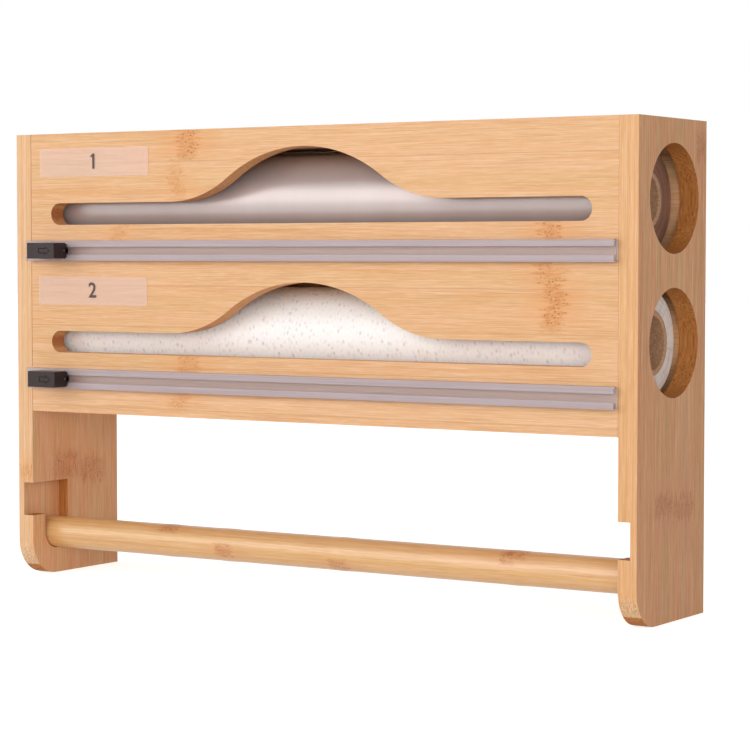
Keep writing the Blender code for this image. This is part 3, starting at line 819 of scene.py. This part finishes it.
# Cuts the front into upright facets and sets them back towards the left and right ends
def crownFront(piece, low, high):
    half = (high.x - low.x) / 2
    makeActive(piece)
    bpy.ops.object.mode_set(mode="EDIT")
    for step in range(1, slider["crownSteps"]):
        bpy.ops.mesh.select_all(action="SELECT")
        bpy.ops.mesh.bisect(plane_co=(low.x + 2 * half * step / slider["crownSteps"], 0, 0),
                            plane_no=(1, 0, 0))
    bpy.ops.object.mode_set(mode="OBJECT")
    for vertex in piece.data.vertices:
        if vertex.co.y < low.y + mergeDistance:
            vertex.co.y += slider["crown"] * ((vertex.co.x - low.x) / half - 1) ** 2


def arrowPoints(right, y, middle):
    left = right - slider["arrowLength"]
    neck = right - slider["headLength"]
    halfHead = slider["headHeight"] / 2
    halfShaft = slider["shaftHeight"] / 2
    outline = ((left, -halfShaft), (neck, -halfShaft), (neck, -halfHead), (right, 0), (neck, halfHead),
               (neck, halfShaft), (left, halfShaft), (left, -halfShaft))
    return [(x, y, middle + z) for x, z in outline]


for tier in ("upper", "lower"):
    low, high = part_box(tier + "_cutter_slider")
    piece = copyNode(tier + "_cutter_slider", tier + "CutterSlider")
    crownFront(piece, low, high)
    easeEdges(piece, slider["edge"])
    groove = drawLine("arrowGroove", arrowPoints(high.x - slider["arrowFromRight"],
                                                 low.y - slider["lineRadius"] + slider["lineDepth"],
                                                 (low.z + high.z) / 2))
    makeActive(groove)
    bpy.ops.object.convert(target="CURVE")
    groove = bpy.context.active_object
    groove.data.bevel_depth = slider["lineRadius"]
    groove.data.bevel_resolution = 3
    bpy.ops.object.convert(target="MESH")
    groove = bpy.context.active_object
    applyModifier(piece, "BOOLEAN", operation="DIFFERENCE", solver="EXACT", object=groove)
    bpy.data.objects.remove(groove, do_unlink=True)
    settle(piece, blackAbs, tier + "_slider", "slider_plastic", tier + "_cutter_slider")
    blade = copyNode(tier + "_cutter_blade", tier + "CutterBlade")
    easeEdges(blade, slider["bladeEdge"], 1)
    settle(blade, groundSteel, tier + "_slider", "blade_steel", tier + "_cutter_blade")
print("sliders ready")


# Rolls: wound turns that don't end quite level, on a paper tube
winding = {"turns": 26, "unevenness": 0.22 * mm, "corner": 0.35 * mm, "cornerStart": 0.3, "steps": 144}


def windRoll(name, node, seed, material, body, slot):
    low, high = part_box(node)
    innerRadius = min((vertex.co.yz - Vector((rollY, (low.z + high.z) / 2))).length
                      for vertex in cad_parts[node].data.vertices)
    half = (high.x - low.x) / 2
    draw = random.Random(seed)
    ends = []
    for side in (-1, 1):
        step = (rollRadius - winding["corner"] - innerRadius) / winding["turns"]
        rim = [(side * (half - draw.random() * winding["unevenness"]), innerRadius + step * turn)
               for turn in range(1, winding["turns"])]
        rim.append((side * (half - winding["corner"] * winding["cornerStart"]),
                    rollRadius - winding["corner"]))
        rim.append((side * (half - winding["corner"]), rollRadius))
        ends.append([(side * half, innerRadius)] + rim)
    profile = ends[0] + ends[1][::-1] + ends[0][:1]
    centre = ((low.x + high.x) / 2, rollY, (low.z + high.z) / 2)
    piece = turnProfile(name, profile, centre, (1, 0, 0), (0, 1, 0), winding["steps"])
    settle(piece, material, body, slot, node)


tube = {"corner": 0.3 * mm, "steps": 96}


def rollTube(name, node, material, body):
    low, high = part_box(node)
    centre = Vector(((low.x + high.x) / 2, rollY, (low.z + high.z) / 2))
    inner = min((vertex.co - centre).yz.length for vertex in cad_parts[node].data.vertices)
    outer = (high.z - low.z) / 2
    half = (high.x - low.x) / 2
    corner = tube["corner"]
    rightSide = [(half - corner, outer), (half, outer - corner), (half, inner + corner),
                 (half - corner, inner)]
    leftSide = [(-along, radius) for along, radius in reversed(rightSide)]
    piece = turnProfile(name, rightSide + leftSide + rightSide[:1], centre, (1, 0, 0), (0, 1, 0),
                        tube["steps"])
    settle(piece, material, body, "paper_tube", node)


windRoll("foilWinding", "foil_winding", 3, foil, "foil_roll", "foil")
windRoll("filmWinding", "film_winding", 4, film, "film_roll", "film")
rollTube("foilTube", "foil_core", foilKraft, "foil_tube")
rollTube("filmTube", "film_core", filmKraft, "film_tube")
print("rolls ready")


# Towel rod: turned bamboo, chamfered at its ends and a little thicker at its knuckles
rod = {
    "chamfer": 1.2 * mm,
    "knuckles": (-87, -53, 12, 103),     # mm from the middle
    "swelling": 0.16 * mm,
    "swellingLength": 4,                 # mm
    "rings": 120,
    "steps": 64,
}
low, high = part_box("towel_rod")
rodRadius = (high.z - low.z) / 2
rodHalf = (high.x - low.x) / 2
profile = [(-rodHalf, 0), (-rodHalf, rodRadius - rod["chamfer"])]
for ring in range(rod["rings"] + 1):
    along = -rodHalf + rod["chamfer"] + (rodHalf - rod["chamfer"]) * 2 * ring / rod["rings"]
    swell = sum(exp(-((along / mm - knuckle) / rod["swellingLength"]) ** 2) for knuckle in rod["knuckles"])
    profile.append((along, rodRadius + rod["swelling"] * swell))
profile += [(rodHalf, rodRadius - rod["chamfer"]), (rodHalf, 0)]
piece = turnProfile("towelRod", profile, ((low.x + high.x) / 2, (low.y + high.y) / 2, (low.z + high.z) / 2),
                    (1, 0, 0), (0, 1, 0), rod["steps"])
settle(piece, rodBamboo, "rod", "rod_bamboo", "towel_rod")
print("rod ready")


# Labels: clear film with rounded corners and a plain numeral, one for each roll
label = {
    "corner": 0.9 * mm,
    "numeralHeight": 7.5 * mm,
    "numeralFromLeft": 33.5 * mm,
    "inkThickness": 0.03 * mm,
    "inkSpread": 0.15 * mm,
    "capShare": 0.73,         # height of a numeral as a share of the font's size
    "numerals": (("upper", "1"), ("lower", "2")),
    "flagLength": 2.0 * mm,   # the flag of the 1
    "flagWidth": 0.85 * mm,
    "flagSlope": 38,
    "flagAcross": 0.23 * mm,  # its middle, from the stroke's upper left corner
    "flagDown": 0.97 * mm,
}
for tier, numeral in label["numerals"]:
    low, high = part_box(tier + "_label")
    piece = copyNode(tier + "_label", tier + "Label")
    bpy.ops.object.mode_set(mode="EDIT")
    bpy.ops.mesh.select_all(action="DESELECT")
    bpy.ops.mesh.select_mode(type="EDGE")
    bpy.ops.object.mode_set(mode="OBJECT")
    for edge in piece.data.edges:
        first, second = (piece.data.vertices[place].co for place in edge.vertices)
        edge.select = abs(first.y - second.y) > mergeDistance
    bpy.ops.object.mode_set(mode="EDIT")
    bpy.ops.mesh.bevel(offset=label["corner"], segments=5)
    bpy.ops.mesh.select_mode(type="VERT")
    bpy.ops.object.mode_set(mode="OBJECT")
    settle(piece, clearLabel, "case", "sticker", tier + "_label")
    bpy.ops.object.select_all(action="DESELECT")
    bpy.ops.object.text_add(location=(low.x + label["numeralFromLeft"], low.y, (low.z + high.z) / 2),
                            rotation=(radians(90), 0, 0))
    text = bpy.context.active_object
    text.data.body = numeral
    text.data.size = label["numeralHeight"] / label["capShare"]
    text.data.align_x = "CENTER"
    text.data.align_y = "CENTER"
    text.data.extrude = label["inkThickness"] / 2
    text.data.offset = label["inkSpread"]
    bpy.ops.object.convert(target="MESH")
    text = bpy.context.active_object
    text.name = tier + "Numeral"
    applyPlace(text)
    text.location.y = -label["inkThickness"] / 2
    applyPlace(text)
    if numeral == "1":        # the font's 1 is a bare stroke
        left = min(vertex.co.x for vertex in text.data.vertices)
        top = max(vertex.co.z for vertex in text.data.vertices)
        bpy.ops.object.select_all(action="DESELECT")
        bpy.ops.mesh.primitive_cube_add(size=1, location=(
            left - label["flagAcross"], low.y - label["inkThickness"] / 2, top - label["flagDown"]))
        flag = bpy.context.active_object
        flag.scale = (label["flagLength"], label["inkThickness"], label["flagWidth"])
        flag.rotation_euler.y = -radians(label["flagSlope"])
        applyPlace(flag)
        applyModifier(text, "BOOLEAN", operation="UNION", solver="EXACT", object=flag)
        bpy.data.objects.remove(flag, do_unlink=True)
    settle(text, printInk, "case", "sticker")
print("labels ready")


# Hangers on the back: pressed plates, and screws with a cross recess
hanger = {
    "plateEdge": 0.25 * mm,
    "screwSteps": 48,
    "recessWidth": 0.55 * mm,
    "recessLength": 2.6 * mm,
    "recessDepth": 0.8 * mm,
    "tipLength": 1.4 * mm,
    "threads": 5,
    "threadDepth": 0.2 * mm,
    "headFace": 0.97,            # flat face of the head, of its radius
    "headRim": 0.12 * mm,
}


def driveScrew(name, node):
    low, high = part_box(node)
    plateLow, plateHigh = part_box("left_hanger_plate")
    headRadius = (high.z - low.z) / 2
    headDepth = plateHigh.y - plateLow.y
    coreRadius = headRadius / 2
    reach = high.y - low.y
    shank = reach - headDepth - hanger["tipLength"]
    profile = [(0, 0), (0, headRadius * hanger["headFace"]), (-hanger["headRim"], headRadius),
               (-headDepth, coreRadius)]
    for turn in range(hanger["threads"]):
        start = -headDepth - shank * turn / hanger["threads"]
        profile.append((start - shank * 0.5 / hanger["threads"], coreRadius - hanger["threadDepth"]))
        profile.append((start - shank / hanger["threads"], coreRadius))
    profile.append((-reach, 0))
    centre = Vector(((low.x + high.x) / 2, high.y, (low.z + high.z) / 2))
    screw = turnProfile(name, profile, centre, (0, 1, 0), (1, 0, 0), hanger["screwSteps"])
    bpy.ops.object.mode_set(mode="EDIT")
    bpy.ops.mesh.select_all(action="SELECT")
    bpy.ops.mesh.dissolve_limited(angle_limit=flatAngle)
    bpy.ops.object.mode_set(mode="OBJECT")
    for turn in (0, pi / 2):
        bpy.ops.object.select_all(action="DESELECT")
        bpy.ops.mesh.primitive_cube_add(size=1, location=centre, rotation=(0, turn + pi / 4, 0))
        recess = bpy.context.active_object
        recess.scale = (hanger["recessLength"], 2 * hanger["recessDepth"], hanger["recessWidth"])
        applyPlace(recess)
        applyModifier(screw, "BOOLEAN", operation="DIFFERENCE", solver="EXACT", object=recess)
        bpy.data.objects.remove(recess, do_unlink=True)
    settle(screw, zincSteel, "case", "hanger_steel", node)


for side in ("left", "right"):
    plate = copyNode(side + "_hanger_plate", side + "HangerPlate")
    easeEdges(plate, hanger["plateEdge"], 2)
    settle(plate, zincSteel, "case", "hanger_steel", side + "_hanger_plate")
    for end in ("lower", "upper"):
        driveScrew(side + end.capitalize() + "Screw", "_".join((side, "hanger", end, "screw")))
print("hangers ready")


# Studio: a pale floor, a white room, a large soft lamp at the front left and a weaker one at the right
studio = {
    "floorSize": 12,
    "roomLight": 0.40,           # what the white room gives the object
    "lamps": (
        # azimuth from the front (to the right), elevation, distance, width, height, power
        (-20, 17, 2.8, 3.2, 1.45, 36),
        (38, 7.5, 2.6, 1.6, 0.8, 16),
    ),
    "lampAim": (0, 0, 0.11),
    "floorLift": 0.68,           # makes the floor white to the eye, not to the object
    "floorColour": "F4F4F4",
}


# White where the camera, a mirror or clear plastic looks at it
def lookedAt(tree):
    rays = addNode(tree, "LightPath").outputs
    seen = addNode(tree, "Math", {0: rays["Is Camera Ray"], 1: rays["Is Glossy Ray"]}, operation="MAXIMUM")
    return addNode(tree, "Math", {0: seen, 1: rays["Is Transmission Ray"]}, operation="MAXIMUM")


room = bpy.data.worlds.new("white room")
bpy.context.scene.world = room
room.use_nodes = True
tree = room.node_tree
light = tree.nodes["Background"]
light.inputs[0].default_value = hexColour("FFFFFF")
light.inputs[1].default_value = studio["roomLight"]
white = addNode(tree, "Background", {0: hexColour("FFFFFF"), 1: 1})
mixed = addNode(tree, "MixShader", {0: lookedAt(tree), 1: light, 2: white})
addLink(tree, mixed, tree.nodes["World Output"].inputs["Surface"])

bpy.ops.object.select_all(action="DESELECT")
bpy.ops.mesh.primitive_plane_add(size=studio["floorSize"])
floor = bpy.context.active_object
floor.name = "floor"
paper, tree, shader = newMaterial("white paper floor", Base_Color=hexColour(studio["floorColour"]),
                                  Roughness=0.9)
glow = addNode(tree, "Emission", {0: hexColour("FFFFFF"), 1: studio["floorLift"]})
lifted = addNode(tree, "AddShader", {0: shader, 1: glow})
mixed = addNode(tree, "MixShader", {0: lookedAt(tree), 1: shader, 2: lifted})
addLink(tree, mixed, tree.nodes["Material Output"].inputs["Surface"])
floor.data.materials.append(paper)

for azimuth, elevation, distance, width, height, power in studio["lamps"]:
    turn, rise = radians(azimuth), radians(elevation)
    outward = Vector((sin(turn) * cos(rise), -cos(turn) * cos(rise), sin(rise)))
    bpy.ops.object.light_add(type="AREA", location=Vector(studio["lampAim"]) + outward * distance)
    lamp = bpy.context.active_object
    lamp.data.shape = "RECTANGLE"
    lamp.data.size = width
    lamp.data.size_y = height
    lamp.data.energy = power
    lamp.rotation_euler = outward.to_track_quat("Z", "Y").to_euler()

camera = {                       # metres, degrees and mm
    "place": (0.62723, -0.94060, 0.15956),
    "azimuth": 32.717,
    "tiltDown": 2.886,
    "lens": 116.86,
}
bpy.ops.object.camera_add(location=camera["place"],
                          rotation=(radians(90 - camera["tiltDown"]), 0, radians(camera["azimuth"])))
bpy.context.scene.camera = bpy.context.active_object
bpy.context.scene.camera.data.lens = camera["lens"]
bpy.context.scene.view_settings.view_transform = "Standard"
print("studio ready")
